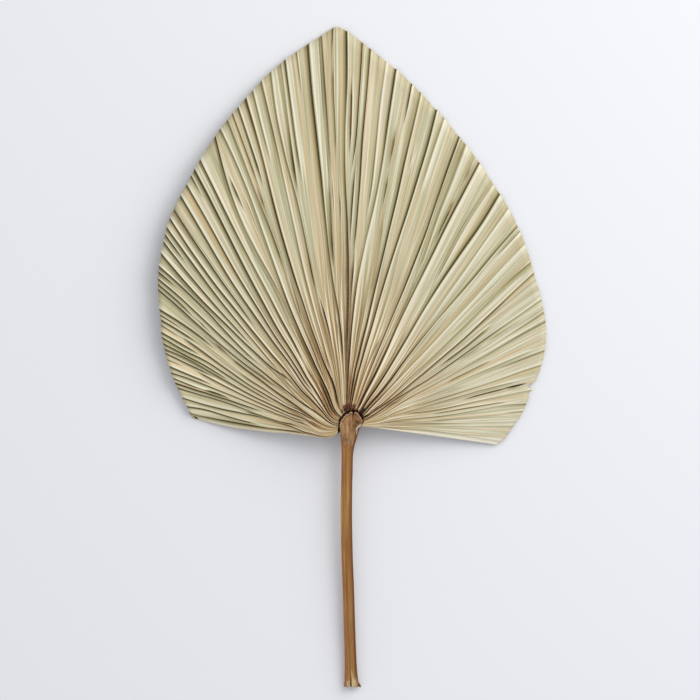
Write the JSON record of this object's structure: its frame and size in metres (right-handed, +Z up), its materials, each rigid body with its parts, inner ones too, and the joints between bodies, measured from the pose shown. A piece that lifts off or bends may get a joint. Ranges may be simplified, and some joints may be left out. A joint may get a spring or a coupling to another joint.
{
  "type": "fan palm leaf",
  "caption": "Dried fan palm leaf with a pleated, spade-cut blade spreading from a corky crest on a slim woody stalk, lying flat.",
  "frame": {"origin": "centre of the leaf's bounding box, on the surface it lies on", "axes": "+Y runs from the cut foot of the stalk to the tip of the blade, +Z is up, away from the surface, on the side that shows the crest"},
  "size_m": [0.4114, 0.7008, 0.0331],
  "materials": {
    "dried_blade": "dry, matt, sage-cream leaf tissue with fine lengthwise veins and tan streaks",
    "stalk": "satin brown fibrous stalk with lengthwise grooves",
    "crest": "matt corky brown, torn and papery along its upper edge"
  },
  "bodies": {
    "root": {"blade": "dried_blade", "petiole": "stalk", "hastula": "crest"}
  },
  "joints": []
}
